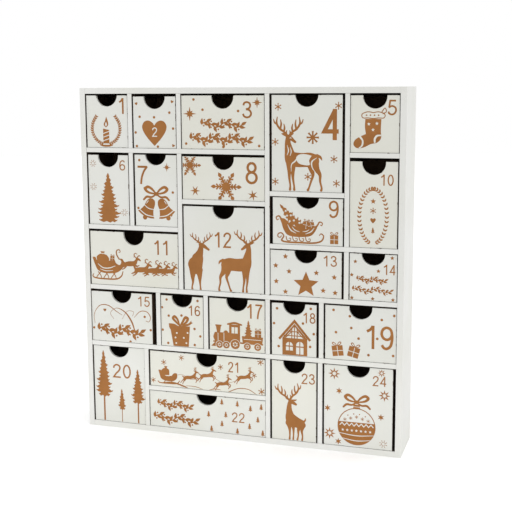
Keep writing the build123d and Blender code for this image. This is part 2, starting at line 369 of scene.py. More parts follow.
def dress(node, materials, choose):
    """Gives each face of a CAD node one of the materials."""
    mesh = nodes[node].data
    mesh.materials.clear()
    for material in materials:
        mesh.materials.append(material)
    for face in mesh.polygons:
        face.material_index = choose(face)


def bare_side(face):
    """Bare board inside the cabinet, near black as painted shade of the gaps; the tops of boards have a run
    of paint along the front.
    """
    return TOP if face.normal.z > FACING else BARE


def outer_board(outward):
    """Paint on an outer board, apart from the side that looks into the cabinet."""
    return lambda face: bare_side(face) if -face.normal.dot(outward) > FACING else PAINTED


def inner_board(face):
    """Paint on a board's front, bare elsewhere."""
    return PAINTED if -face.normal.y > FACING else bare_side(face)


def drawer_front(node):
    """Paint on a drawer front and round its finger notch, bare board elsewhere."""
    low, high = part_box(node)
    middle = (low.x + high.x) / 2

    def choose(face):
        level = abs(face.normal.y) < FACING and face.normal.z > -FACING
        in_notch = level and abs(face.center.x - middle) < NOTCH_REACH
        return PAINTED if in_notch or -face.normal.y > FACING else BARE

    return choose


def dress_cabinet():
    """Materials and soft edges of the fixed boards."""
    for node, outward in (
        ("left_side", (-1, 0, 0)),
        ("right_side", (1, 0, 0)),
        ("top_panel", (0, 0, 1)),
        ("bottom_panel", (0, 0, -1)),
    ):
        dress(node, BOARD_MATERIALS, outer_board(Vector(outward)))
        soften(nodes[node], ARRIS, EDGE)
    for node in (
        "centre_divider", "middle_shelf", "lower_shelf",
        "upper_dividers", "lower_dividers", "short_shelves",
    ):
        dress(node, BOARD_MATERIALS, inner_board)
        soften(nodes[node], ARRIS, EDGE)
    # The back panel's inner face takes the near-black cell board: painted shade at the back of the cells
    dress("back_panel", (HARDBOARD, SHADED_CELL_BOARD), lambda face: 0 if face.normal.y > -FACING else 1)
    dress("back_panel_brads", (STEEL,), lambda face: 0)


def dress_drawers():
    """Materials and soft edges of the drawers' fronts and trays."""
    for number in NUMBERS:
        front, tray = f"drawer_{number:02d}_front", f"drawer_{number:02d}_tray"
        paint, edge = (CREAM_PAINT, CREAM_EDGE) if number in CREAM_FRONTS else (COOL_PAINT, COOL_EDGE)
        dress(front, (paint, CUT_BOARD, edge), drawer_front(front))
        soften(nodes[front], ARRIS, EDGE)
        # Trays take the darkened brown board, painted shade seen through the notches
        dress(tray, (SHADED_TRAY_BOARD,), lambda face: 0)
        soften(nodes[tray], TRAY_ARRIS)


# Flat drawing, in millimetres from a drawer front's lower left corner
def arc(u, v, radius, start, end, step=12):
    """Points from one angle to another, in degrees; the radius may differ along u and v."""
    wide, tall = radius if isinstance(radius, tuple) else (radius, radius)
    count = max(2, math.ceil(abs(end - start) / step))
    angles = [math.radians(start + (end - start) * k / count) for k in range(count + 1)]
    return [(u + wide * math.cos(a), v + tall * math.sin(a)) for a in angles]


def smooth(points, steps=6):
    """Points along a flowing curve through the given ones, with as many values each."""
    last = len(points) - 1
    curve = []
    for i in range(last):
        before, start, end, after = (points[min(max(i + k, 0), last)] for k in (-1, 0, 1, 2))
        first, middle, final = (
            math.dist(a[:2], b[:2]) for a, b in ((before, start), (start, end), (end, after))
        )
        lead, trail = middle / (first + middle), middle / (middle + final)
        for t in (step / steps for step in range(steps)):
            curve.append(tuple(
                (2 * t**3 - 3 * t**2 + 1) * b
                + (t**3 - 2 * t**2 + t) * lead * (c - a)
                + (3 * t**2 - 2 * t**3) * c
                + (t**3 - t**2) * trail * (d - b)
                for a, b, c, d in zip(before, start, end, after)
            ))
    return [*curve, points[-1]]


DOT_STEP = 24  # degrees between the points round a small dot
LONGEST_MITRE = 0.5  # least cosine of half the turn at a mitred corner
THIN_STROKE = 0.5  # strokes up to this width have no round ends


class Pen:
    """Draws on one print in millimetres, from a place of its own, turned, scaled or flipped."""

    def __init__(self, shapes, place=(0.0, 0.0), scale=1.0, turn=0.0, flip=1):
        self.shapes = shapes
        self.place = place
        self.scale = scale
        self.turn = turn
        self.flip = flip

    def at(self, u, v, scale=1.0, turn=0.0, flip=False):
        """A pen that starts at a point of this one; turn is in degrees."""
        return Pen(
            self.shapes,
            self.spot((u, v)),
            self.scale * scale,
            self.turn + self.flip * math.radians(turn),
            -self.flip if flip else self.flip,
        )

    def halves(self, u, v, scale=1.0):
        """Two pens at a point, one the mirror image of the other."""
        return self.at(u, v, scale), self.at(u, v, scale, flip=True)

    def spot(self, point):
        """A point of this pen on the print."""
        u, v = self.scale * self.flip * point[0], self.scale * point[1]
        cos, sin = math.cos(self.turn), math.sin(self.turn)
        return (self.place[0] + u * cos - v * sin, self.place[1] + u * sin + v * cos)

    def fill(self, points, ink=True):
        """A closed shape with straight sides, inked or bare."""
        self.shapes.append(([self.spot(point) for point in points], ink))

    def shape(self, start, *runs, ink=True):
        """A closed shape of flowing runs that meet in corners."""
        points = [start]
        for run in runs:
            points += smooth([points[-1], *run])[1:]
        self.fill(points[:-1] if points[-1] == start else points, ink)

    def box(self, left, bottom, right, top, ink=True):
        self.fill([(left, bottom), (right, bottom), (right, top), (left, top)], ink)

    def dot(self, u, v, radius, ink=True):
        step = DOT_STEP / max(1.0, radius * self.scale) ** 0.5
        self.fill(arc(u, v, radius, 0, 360, step)[:-1], ink)

    def band(self, points, widths, ink=True):
        """A stroke of straight pieces with mitred corners; one width for each point."""
        count = len(points)
        left, right = [], []
        for i, (u, v) in enumerate(points):
            before, after = points[max(i - 1, 0)], points[min(i + 1, count - 1)]
            arrive = math.atan2(v - before[1], u - before[0]) if i else None
            leave = math.atan2(after[1] - v, after[0] - u) if i < count - 1 else arrive
            arrive = leave if arrive is None else arrive
            half = math.remainder(leave - arrive, 2 * math.pi) / 2
            reach = widths[i] / 2 / max(math.cos(half), LONGEST_MITRE)
            normal = arrive + half + math.pi / 2
            step = (reach * math.cos(normal), reach * math.sin(normal))
            left.append((u + step[0], v + step[1]))
            right.append((u - step[0], v - step[1]))
        for i in range(count - 1):
            self.fill((left[i], right[i], right[i + 1]), ink)
            self.fill((left[i], right[i + 1], left[i + 1]), ink)

    def line(self, points, width, ink=True):
        """A stroke of one width."""
        self.band(points, [width] * len(points), ink)

    def brush(self, *strokes, ink=True):
        """Flowing strokes, each through points of (u, v, width), with round ends."""
        for points in strokes:
            path = smooth(points)
            self.band([point[:2] for point in path], [point[2] for point in path], ink)
            for u, v, width in (points[0], points[-1]):
                if width > THIN_STROKE:
                    self.dot(u, v, width / 2, ink)

    def scatter(self, draw, places, *sizes, **options):
        """The same ornament at many places, each with the scale and turn that it may have."""
        for place in places:
            draw(self.at(*place), *sizes, **options)


# Numerals, one unit high: each is a list of strokes
def flowing(*points):
    return smooth(points, 5)


SIX = flowing(
    (0.49, 0.8), (0.42, 0.91), (0.29, 0.95), (0.13, 0.84), (0.06, 0.58), (0.06, 0.34), (0.12, 0.13),
    (0.28, 0.05), (0.44, 0.12), (0.51, 0.31), (0.44, 0.49), (0.28, 0.56), (0.13, 0.49), (0.06, 0.34),
)
DIGITS = {
    "0": [arc(0.28, 0.5, (0.22, 0.45), 90, 450)],
    "1": [flowing((0.09, 0.74), (0.24, 0.83), (0.35, 0.98)), [(0.36, 1.0), (0.36, 0.0)]],
    "2": [
        flowing(
            (0.06, 0.7), (0.11, 0.86), (0.28, 0.95), (0.45, 0.87), (0.49, 0.72), (0.41, 0.52),
            (0.21, 0.29), (0.06, 0.05),
        ) + [(0.53, 0.05)],
    ],
    "3": [
        flowing(
            (0.07, 0.76), (0.13, 0.9), (0.27, 0.95), (0.42, 0.88), (0.46, 0.74), (0.39, 0.59), (0.22, 0.53),
        ),
        flowing(
            (0.22, 0.53), (0.42, 0.47), (0.51, 0.28), (0.43, 0.11), (0.27, 0.05), (0.11, 0.12), (0.05, 0.26),
        ),
    ],
    "4": [[(0.56, 0.28), (0.05, 0.28), (0.41, 0.93)], [(0.42, 1.0), (0.42, 0.0)]],
    "5": [
        [(0.5, 0.95), (0.15, 0.95), (0.09, 0.5)],
        flowing(
            (0.09, 0.49), (0.18, 0.58), (0.3, 0.6), (0.46, 0.51), (0.51, 0.33), (0.43, 0.13),
            (0.27, 0.05), (0.11, 0.11), (0.05, 0.24),
        ),
    ],
    "6": [SIX],
    "7": [[(0.03, 0.95), (0.5, 0.95)] + flowing((0.51, 0.93), (0.36, 0.7), (0.25, 0.38), (0.2, 0.0))],
    "8": [arc(0.28, 0.745, (0.18, 0.205), 90, 450), arc(0.28, 0.29, (0.225, 0.24), 90, 450)],
    "9": [[(0.56 - u, 1 - v) for u, v in SIX]],
}
DIGIT_WIDE = 0.68
DIGIT_WEIGHT = 0.115
HEAVY_WEIGHT = 0.14


def numeral(pen, number, left, bottom, right, top, weight=DIGIT_WEIGHT, ink=True):
    """A plain number that fills the box."""
    strokes, start = [], 0.0
    for digit in str(number):
        strokes += [[(start + u, v) for u, v in stroke] for stroke in DIGITS[digit]]
        start += DIGIT_WIDE
    tall = top - bottom
    low = min(u for stroke in strokes for u, v in stroke) - weight / 2
    high = max(u for stroke in strokes for u, v in stroke) + weight / 2
    wide = (right - left) / (high - low)
    for stroke in strokes:
        pen.line([(left + (u - low) * wide, bottom + v * tall) for u, v in stroke], weight * tall, ink)


# Ornaments
def star(pen, radius, points=5, inner=0.47, short=1, ink=True):
    """A star with its first point up; short is the length of every other point."""
    corners = []
    for k in range(2 * points):
        reach = radius * (inner if k % 2 else short if k % 4 == 2 else 1)
        angle = math.radians(90 + 180 * k / points)
        corners.append((reach * math.cos(angle), reach * math.sin(angle)))
    pen.fill(corners, ink)


def sparkle(pen, radius):
    """A glint: four long points and four short ones."""
    star(pen, radius, 8, 0.34, 0.62)


def open_star(pen, radius):
    """An eight-pointed star in outline."""
    star(pen, radius, 8, 0.43)
    star(pen, 0.42 * radius, 8, 0.55, ink=False)


def flake(pen, radius, spokes=6):
    """A small snowflake of wedge-shaped spokes."""
    for spoke in range(spokes):
        arm = pen.at(0, 0, radius, 90 + 360 * spoke / spokes)
        arm.brush([(0, 0, 0.34), (0.5, 0, 0.24), (1, 0, 0.32)])


def faint_flake(pen, radius):
    """A worn snowflake: only short dashes of its spokes are left."""
    for spoke in range(8):
        arm = pen.at(0, 0, radius, 22 + 45 * spoke)
        arm.band([(0.4, 0), (0.64, 0)], [0.2, 0.18])
        arm.band([(0.78, 0.06), (1.04, 0.06)], [0.18, 0.15])


def leaf(pen, length, width):
    """A pointed leaf along u."""
    pen.shape(
        (0, 0),
        [(0.2 * length, 0.42 * width), (0.5 * length, 0.5 * width), (length, 0)],
        [(0.5 * length, -0.5 * width), (0.2 * length, -0.42 * width), (0, 0)],
    )


def headings(path):
    """The points of a path but for the last, each with the angle towards the next."""
    for here, beyond in zip(path, path[1:]):
        yield here, math.degrees(math.atan2(beyond[1] - here[1], beyond[0] - here[0]))


def sprig(pen, path, length, width, spread):
    """Pairs of leaves along a path, each turned from it by the spread."""
    for here, along in headings(path):
        leaf(pen.at(*here, 1, along + spread), length, width)
        leaf(pen.at(*here, 1, along - spread), length, width)


def snowflake(pen, radius):
    """A large snowflake with leaf-shaped tips."""
    for arm in (pen.at(0, 0, radius, 60 * k) for k in range(6)):
        arm.band([(0, 0), (0.75, 0)], [0.14, 0.09])
        leaf(arm.at(0.66, 0), 0.34, 0.22)
        for foot, reach in ((0.3, 0.2), (0.48, 0.23)):
            for turn in (48, -48):
                arm.at(foot, 0, 1, turn).band([(0, 0), (reach, 0)], [0.08, 0.1])
        arm.at(0, 0, 1, 30).fill([(0, 0.11), (0.16, 0.1), (0.44, 0), (0.16, -0.1), (0, -0.11)])
    pen.dot(0, 0, 0.2 * radius)


def heart(pen, width):
    """A heart round its middle."""
    lobe = [(0.27, -0.22), (0.45, 0.04), (0.5, 0.24), (0.41, 0.41), (0.25, 0.46), (0.09, 0.39), (0, 0.27)]
    back = [(-u, v) for u, v in lobe[-2::-1]]
    pen.at(0, 0, width).shape((0, -0.5), lobe, [*back, (0, -0.5)])


FIR_SHOOT = 0.6  # height of the top shoot, in tiers
FIR_BULGE = 0.85  # power of the sides' curve
FIR_SKIRT = 0.85  # share of the tiers above the skirt, which draws in
FIR_TUCK = 0.3  # how far it draws in
FIR_RAGGED = 0.14  # how much the branches differ in length
FIR_RHYTHM = 2.6  # radians from one tier to the next


def fir(pen, width, height, tiers):
    """A slim ragged fir that stands on v 0; its upturned branches differ from side to side."""
    drop = height / (tiers + FIR_SHOOT)
    sides = []
    for side, phase in ((1, 0), (-1, 2.1)):
        edge = []
        for tier in range(tiers):
            top = height - drop * (tier + FIR_SHOOT)
            share = (tier + 1) / tiers
            skirt = max(0, (share - FIR_SKIRT) / (1 - FIR_SKIRT))
            spread = share**FIR_BULGE * (1 - FIR_TUCK * skirt**2)
            reach = width / 2 * spread * (1 - FIR_RAGGED + FIR_RAGGED * math.sin(FIR_RHYTHM * tier + phase))
            for out, down in ((0.62, -0.1), (0.82, 0.3), (1, 0.12), (0.95, 0.5), (0.7, 0.84)):
                edge.append((side * out * reach, top - down * drop))
        sides.append(edge)
    right, left = sides
    hem = [(0.2, 0), (0.12, 0.3), (0.04, -0.1), (-0.08, 0.3), (-0.18, 0)]
    pen.fill([(0, height), *right, *[(u * width, v * drop) for u, v in hem], *left[::-1]])


def little_fir(pen, height):
    """A small plain fir in three tiers."""
    edge = [(0.16, 0.7), (0.09, 0.7), (0.24, 0.4), (0.12, 0.4), (0.32, 0.13), (0.06, 0.13), (0.06, 0)]
    pen.at(0, 0, height).fill([(0, 1), *edge, *[(-u, v) for u, v in edge[::-1]]])


def loops(pen, size):
    """Two ribbon loops above a knot."""
    for half in pen.halves(0, 0, size):
        half.brush([
            (0.02, 0, 0.1), (0.3, 0.42, 0.13), (0.62, 0.62, 0.16), (0.78, 0.45, 0.17),
            (0.55, 0.16, 0.13), (0.02, 0, 0.1),
        ])
    pen.dot(0, 0.02 * size, 0.11 * size)


def bow(pen):
    """A wide bow with two loops and two tails, round its knot."""
    for half in pen.halves(0, 0):
        half.brush(
            [(0.4, 0.2, 1.6), (4.6, 5.2, 2.6), (10, 8, 3.2), (13.2, 5.6, 3.4), (9.6, 2, 2.6), (0.4, 0, 1.6)],
            [(0.8, -0.6, 1.8), (5.6, -3.4, 2.2), (11.6, -3.2, 2.6), (15.2, -6.4, 2.2)],
        )
    pen.dot(0, 0.2, 2.2)


def gift(pen, width, height):
    """A parcel on v 0 with light ribbons and a bow."""
    lid, half, ribbon = 0.74 * height, width / 2, 0.06 * width
    pen.box(-half, 0, half, lid)
    pen.line([(-half, 0.5 * lid), (half, 0.5 * lid)], ribbon, ink=False)
    pen.line([(0, 0), (0, lid)], ribbon, ink=False)
    loops(pen.at(0, lid), 0.39 * height)


LEAVES_TO_A_WAVE = 8


def garland(pen, length, waves, size):
    """A wavy stem along u with leaves of one size on alternate sides, and a berry beside each."""
    count = LEAVES_TO_A_WAVE * waves
    rise = 0.42 * size
    stem = [(length * k / count, rise * math.sin(2 * math.pi * waves * k / count)) for k in range(count + 1)]
    pen.line(stem, 0.16 * size)
    side = 1
    for here, along in headings(stem):
        leaf(pen.at(*here, size, along + 46 * side), 1, 0.44)
        pen.at(*here, size, along - 62 * side).dot(0.42, 0, 0.13)
        side = -side
    leaf(pen.at(*stem[-1], size, 30).at(-0.1, 0), 1, 0.44)


def antlers(pen, size, spread=1):
    """A pair of antlers, from the head at v 0, as wide as the spread makes them."""
    for half in pen.halves(0, 0, size):
        for tine in (
            [(0.06, 0, 0.12), (0.3, 0.2, 0.11), (0.58, 0.36, 0.11), (0.78, 0.62, 0.1), (0.74, 0.96, 0.04)],
            [(0.3, 0.2, 0.1), (0.25, 0.4, 0.09), (0.3, 0.6, 0.04)],
            [(0.54, 0.34, 0.1), (0.48, 0.58, 0.09), (0.52, 0.82, 0.04)],
            [(0.76, 0.58, 0.09), (0.92, 0.66, 0.08), (1, 0.84, 0.04)],
            [(0.12, 0.06, 0.09), (0.13, 0.18, 0.07), (0.09, 0.28, 0.03)],
        ):
            half.brush([(spread * u, v, width) for u, v, width in tine])


def standing_deer(pen, rack=14, spread=1):
    """A stag with its body to the left and its head, at the right, turned back."""
    pen.shape((-13, 31.5), [
        (-7, 33.2), (0, 32.8), (7, 33.4), (14.6, 34.5), (15.6, 28.5), (13.4, 22.5), (5, 20.6), (-4, 20.8),
        (-10, 20.4), (-14.6, 24.5), (-14.6, 29), (-13, 31.5),
    ])
    pen.brush(
        # Neck, muzzle, ears and tail
        [(10.2, 28, 10.5), (11.8, 35.4, 7.6), (12.8, 41.4, 5.2), (12.5, 46, 4.2)],
        [(13, 46.8, 3.6), (10.6, 45.6, 3.6), (7.6, 43.2, 2.5), (6.2, 42.2, 2.1)],
        [(14.2, 47.2, 1.2), (16.6, 48.8, 2.1), (18.6, 49.2, 0.3)],
        [(10.6, 47.4, 1), (9, 49, 1.7), (7.4, 49.4, 0.3)],
        [(-13.2, 31, 2.4), (-16.2, 29.2, 2.2), (-17.6, 26.6, 0.4)],
        # Hind legs and forelegs
        [
            (-9.6, 26, 11), (-12.6, 19.5, 5.6), (-15.8, 14.2, 2.9), (-16, 8.6, 1.9), (-17.4, 2.6, 1.7),
            (-17, 0.9, 2.3),
        ],
        [(-7.6, 24, 8), (-8.6, 18, 4.6), (-9.6, 14, 2.7), (-7.8, 8, 1.8), (-6, 2.6, 1.7), (-5.2, 0.9, 2.3)],
        [(9, 25, 8), (8.4, 17, 3.8), (8.2, 11, 2.3), (7.2, 4.4, 1.6), (7, 0.9, 2.2)],
        [(11.2, 25, 7), (11.4, 17, 3.6), (11.4, 11, 2.2), (10.6, 4.4, 1.6), (10.8, 0.9, 2.2)],
    )
    antlers(pen.at(12.4, 47.5), rack, spread)


def turned_deer(pen):
    """A stag seen from behind, with its head in profile to the right."""
    pen.shape((6, 33.5), [
        (1.4, 30), (-0.4, 25.5), (1.2, 19), (2.4, 14), (7.4, 15.8), (12.8, 14), (13.6, 20),
        (14.6, 26), (15, 33), (12, 37), (6, 33.5),
    ])
    pen.brush(
        # Neck, muzzle and ear
        [(9.2, 31, 11), (11.9, 37, 6.8), (13, 41.6, 4.8), (13.4, 44.5, 4)],
        [(12.6, 44.6, 3.8), (16, 43.4, 3.7), (19.2, 41.2, 2.5), (20.8, 40.2, 2.2)],
        [(12.6, 45.4, 1.2), (10.4, 47, 2), (8.4, 46.8, 0.3)],
        # Legs
        [(4.6, 20, 7.6), (4.2, 13, 4.2), (4.4, 8, 2.2), (3.4, 3, 1.5), (3.6, 0.9, 2.2)],
        [(10.8, 20, 7.6), (11.4, 13, 4.2), (11.6, 8, 2.2), (12, 3, 1.5), (12.2, 0.9, 2.2)],
    )
    antlers(pen.at(14, 45.5, turn=3), 11.5)


def proud_deer(pen):
    """A stag with its chest forward to the left, its head turned back right and its tail up."""
    pen.shape((1.4, 27), [
        (4.9, 21.6), (9.2, 18.6), (13.2, 16.4), (14.3, 12.6), (12, 9.8), (6, 10.6), (0.1, 10.6),
        (-1.4, 15), (-1.7, 20.6), (1.4, 27),
    ])
    pen.brush(
        # Neck, muzzle, ears and tail
        [(2.2, 18, 8.2), (1.2, 24, 5), (1.3, 29, 3.5), (2.2, 32, 3.2)],
        [(1.9, 32.5, 3.1), (4.2, 30.9, 2.9), (6.6, 29.6, 1.9)],
        [(0.7, 32.9, 0.9), (-0.9, 33.9, 1.3), (-2, 34.4, 0.3)],
        [(3.8, 33, 0.9), (5.9, 32.9, 1.4), (7.3, 33.6, 0.3)],
        [(12.9, 15.6, 1.8), (14.2, 17.2, 1.4), (14.5, 19, 0.4)],
        # Legs
        [(0.9, 14, 5.6), (1.5, 9, 2.3), (1.7, 4, 1.25), (1.5, 0.7, 1.6)],
        [(4.1, 13, 4), (4.7, 9, 2), (4.7, 4, 1.2), (4.5, 0.6, 1.5)],
        [(9.7, 13, 4.4), (8.7, 8.6, 2.3), (8.6, 4, 1.2), (7.9, 0.6, 1.5)],
        [(12.2, 13, 5), (11.4, 8.4, 2.3), (12.1, 4, 1.2), (11.8, 0.5, 1.5)],
    )
    antlers(pen.at(1.2, 33.4, turn=6), 13.4, 0.8)


def leaping_deer(pen):
    """A running deer, about 20 units long."""
    pen.brush(
        # Body, neck, head, ear and tail
        [(-6.4, 6.2, 3), (-3.4, 6.7, 3.9), (0.8, 6.6, 3.5), (4.4, 7.6, 3.9), (5.6, 8.6, 3)],
        [(4.8, 8.2, 3.2), (6.8, 10.8, 2.2), (7.8, 12.4, 1.8)],
        [(7.4, 12.7, 1.9), (9, 12.2, 1.6), (10.8, 11.2, 0.9)],
        [(7, 13.2, 0.6), (5.8, 13.8, 0.9), (5, 13.8, 0.2)],
        [(-7.2, 7.2, 1.2), (-8.6, 8.4, 0.9), (-9.4, 8.6, 0.2)],
        # Hind legs and forelegs
        [(-5.8, 6.2, 3), (-7.8, 4.4, 1.6), (-9.4, 3.4, 0.9), (-11.6, 1, 0.8)],
        [(-5.2, 5.8, 2.8), (-6.6, 3.4, 1.4), (-8, 2.2, 0.9), (-9.4, -0.4, 0.8)],
        [(4.6, 7, 2.8), (7.4, 6.4, 1.4), (9.2, 4.8, 0.9), (8.4, 2.6, 0.8)],
        [(4.2, 6.6, 2.6), (6.6, 4.8, 1.3), (7.4, 2.6, 0.9), (6.2, 0.8, 0.8)],
    )
    for lean in (0, 1.3):
        pen.at(lean, 0).brush(
            [(7.4 - 0.6 * lean, 13.2, 0.7), (6.6, 14.8, 0.6), (6.8, 16.4, 0.55), (8, 17.8, 0.2)],
            [(6.6, 15.4, 0.5), (5.2, 16.6, 0.2)],
            [(6.9, 16.5, 0.5), (6.2, 18, 0.2)],
        )


def team_deer(pen):
    """A small stout deer at a gallop, with curled antlers, about 16 units long."""
    pen.brush(
        # Body, neck, head and tail
        [(-5, 6, 3.4), (-1.5, 6.4, 4.6), (2.6, 6.8, 4.4), (4.8, 8, 3.4)],
        [(4.2, 7.6, 3.4), (5.8, 9.8, 2.5), (6.8, 11.2, 2.1)],
        [(6.2, 11.4, 2.3), (8, 10.8, 2), (9.4, 9.9, 1.3)],
        [(-6.2, 7.2, 1.4), (-7.6, 8.8, 0.4)],
        # Legs
        [(-5, 5.4, 2.6), (-7.2, 3.6, 1.4), (-9.4, 2.8, 0.9)],
        [(-4.2, 5, 2.4), (-5.8, 2.4, 1.2), (-8, 1, 0.9)],
        [(3.6, 6, 2.4), (6.2, 4.6, 1.3), (8.2, 5.2, 0.9)],
        [(2.8, 5.6, 2.2), (4.6, 3, 1.2), (6.8, 2.4, 0.9)],
        # Antlers
        [(6, 12, 0.8), (4.2, 13.2, 0.9), (3.6, 15, 0.9), (5.2, 16.2, 0.7), (6.6, 15.2, 0.4)],
        [(6.8, 12, 0.8), (7.4, 13.6, 0.9), (8.8, 14.2, 0.8), (9.6, 13.2, 0.4)],
        [(4.6, 12.9, 0.7), (2.8, 12.8, 0.4)],
    )


# Places of the numerals on the fronts: left, bottom, right and top
NUMERALS = {
    1: (34.4, 32.5, 39.6, 47.6), 2: (19.3, 11, 24.9, 19.9), 3: (60.2, 29, 70, 44.6),
    4: (47.9, 47.6, 64.7, 75.6), 5: (33.1, 33.3, 41.5, 46.8), 6: (33.3, 53.5, 39.7, 63.4),
    7: (1.9, 40.8, 13.6, 58.4), 8: (63.1, 15.9, 75.1, 36.5), 9: (53.2, 26.1, 62.6, 41.9),
    10: (27.7, 56.9, 39.6, 66.9), 11: (68.2, 32.6, 82.4, 46.8), 12: (30.9, 42.7, 48.5, 57.4),
    13: (50.7, 29.8, 63.8, 39.8), 14: (31.2, 24.8, 42.6, 34.2), 15: (50.2, 37.7, 63.2, 47.7),
    16: (28.7, 31.9, 41, 42), 17: (37.7, 33.1, 53.4, 47.2), 18: (30.4, 32.4, 42.4, 42.4),
    19: (38.1, 12.5, 63.9, 34.5), 20: (20.5, 46.1, 40.3, 60.3), 21: (81.7, 20.2, 91.9, 30.5),
    22: (86.2, 12.2, 99.5, 22), 23: (29.3, 56.9, 42.3, 67), 24: (46, 60.9, 59.1, 70.5),
}
HEAVY_NUMBER = 4
BARE_NUMBER = 2  # left bare in its heart

# Places of the loose dots
DOTS = {
    2: [(6.7, 29.9), (21.6, 29.4), (37.4, 33.9), (40.9, 18.9), (2.2, 14.9), (3.2, 1.9), (25, 1.6)],
    3: [(12.4, 46.2), (21.3, 36.7), (56.4, 35.6), (4.4, 4.9), (41.6, 2.2), (76.7, 3.6)],
    7: [(5, 63.9), (10, 36.9), (39.2, 33.4), (3, 17.4), (37.2, 11.4)],
    15: [(57.4, 27.4), (1.9, 12.9), (63.6, 14.4), (41.5, 1.2)],
    16: [
        (6.2, 46.4), (38.4, 46.9), (1.2, 38.4), (8.1, 30.4), (21.5, 31.4), (34.9, 18.9), (40.8, 11.9),
        (1.5, 15.9), (7.1, 2.9), (34.9, 2.9),
    ],
    18: [(5.2, 44.9), (37.9, 46.4), (2.2, 30.4), (30.4, 31.9), (40.8, 22.4), (6.7, 8.4), (37.4, 9.9)],
    19: [
        (7.9, 46.9), (23.2, 41.9), (52.9, 40.4), (64.2, 44.9), (24.7, 30.9), (10.3, 25.9), (31.6, 21.4),
        (49, 22.4), (41, 6.4), (63.8, 7.4),
    ],
}
DOT_RADIUS = 1.25


# The drawers' prints
def candle_in_leaves(pen):
    for half in pen.halves(20.5, 0):
        stem = smooth([(-3.4, 3.2), (-10.5, 7.5), (-14.6, 15.5), (-13.8, 24), (-9.4, 31)], 4)
        half.line(stem, 0.5)
        sprig(half, stem, 3, 1.2, 38)
    candle = pen.at(20.5, 0)
    candle.fill([(-3.2, 4), (3.2, 4), (3.2, 17), (-3.2, 18.4)])
    for v in (6.5, 10, 13.5):
        candle.line([(-3.2, v), (3.2, v + 2.2)], 0.8, ink=False)
    candle.shape((0, 19.4), [(-2.4, 22), (-1, 25.6), (0.4, 30)], [(2, 25.4), (2.3, 21.8), (0, 19.4)])
    candle.shape((0, 20.4), [(-1, 22), (0.1, 25)], [(1, 22.2), (0, 20.4)], ink=False)
    candle.brush([(-6.4, 2.6, 1.2), (-3, 1.8, 1.8), (3, 1.8, 1.8), (6.4, 2.6, 1.2)])


def heart_and_dots(pen):
    heart(pen.at(21.7, 14.8), 25.2)
    pen.scatter(heart, [(3.4, 42.2, 1, 12), (40.2, 44, 1, -20), (40.8, 2.6, 1, -28)], 2.9)


def glints_and_garlands(pen):
    sparkle(pen.at(8.4, 32.9), 6.8)
    sparkle(pen.at(74.8, 43.4), 5.2)
    garland(pen.at(20, 23), 40, 2, 6.2)
    garland(pen.at(9, 9.4), 58, 3, 6.4)


def large_stag(pen):
    flakes = (6.2, 77.4), (62.6, 78.4), (3.4, 45.4), (58.7, 30.4), (3.4, 8.9), (34.4, 13.9), (61.1, 8.4)
    pen.scatter(flake, flakes, 3.4)
    flake(pen.at(38.9, 49.8), 5.8, 8)
    deer = pen.at(29, 0.8, 1.06, flip=True)
    standing_deer(deer, 17, 0.78)
    deer.shape((-8.4, 30.6), [
        (-3, 31.8), (2.6, 31.4), (5.4, 28.6), (3.4, 24.2), (-2, 22.4), (-6.8, 22.8), (-6.2, 26.4),
        (-8.4, 30.6),
    ], ink=False)
    deer.brush(
        [(-13, 29, 0.3), (-8.6, 25.4, 1.2), (-9, 20.4, 0.9), (-12.4, 15.6, 0.3)],
        [(3.6, 30.6, 0.3), (6, 26, 1.2), (9.4, 22.8, 0.9), (9.8, 16.6, 0.3)],
        [(13.6, 30.6, 0.3), (12.2, 34.6, 1), (13.4, 39.4, 0.3)],
        [(10.8, 30, 0.3), (9.8, 34, 0.9), (10.8, 38, 0.3)],
        [(9.4, 45.4, 0.5), (10.4, 45.7, 0.7), (11.2, 45.4, 0.4)],
        ink=False,
    )


def stocking(pen):
    sock = pen.at(19, 3)
    sock.shape(
        (-5.6, 27),
        [(-5.9, 20), (-5, 13.6)],
        [
            (-9.5, 11.6), (-14.4, 8.6), (-16.2, 4.4), (-13.2, 1), (-7, 1.6), (-0.6, 4.6), (5.4, 6.2),
            (8.6, 10), (8.4, 17), (8.8, 27),
        ],
    )
    # Seams of the toe and the heel
    sock.shape(
        (-11.2, 10.8),
        [(-8.6, 7.4), (-9.2, 3.4), (-11.6, 1.2)],
        [(-10, 1), (-7.4, 3.6), (-7.2, 8), (-9.6, 11.8)],
        ink=False,
    )
    sock.shape(
        (8.6, 13.2),
        [(4.6, 12.8), (2.2, 9.6), (2.4, 5.8)],
        [(3.7, 6), (4, 9), (5.6, 11.4), (8.6, 11.9)],
        ink=False,
    )
    sock.scatter(star, [(-2.4, 22.5), (4.8, 23), (1.4, 17.4)], 1.7, ink=False)
    cuff = [(-6.6, 30, 5.4), (-3, 30.6, 6.2), (1.6, 30, 6), (6, 30.6, 6.2), (9.8, 30, 5.4)]
    sock.brush(cuff)
    sock.brush([(u, v, width - 1.6) for u, v, width in cuff], ink=False)
    sock.brush([(9, 33, 0.8), (11.8, 36.6, 0.8), (13.2, 33.6, 0.8), (10.2, 31.6, 0.8)])
    for u in (-4.5, -1, 2.6, 6.2):
        sock.dot(u, 30.3, 0.7)


def single_fir(pen):
    fir(pen.at(20.9, 2.2), 31.5, 48.8, 13)
    pen.scatter(faint_flake, [(5.1, 59.9), (5.1, 36.9), (37.6, 12.4)], 3.4)


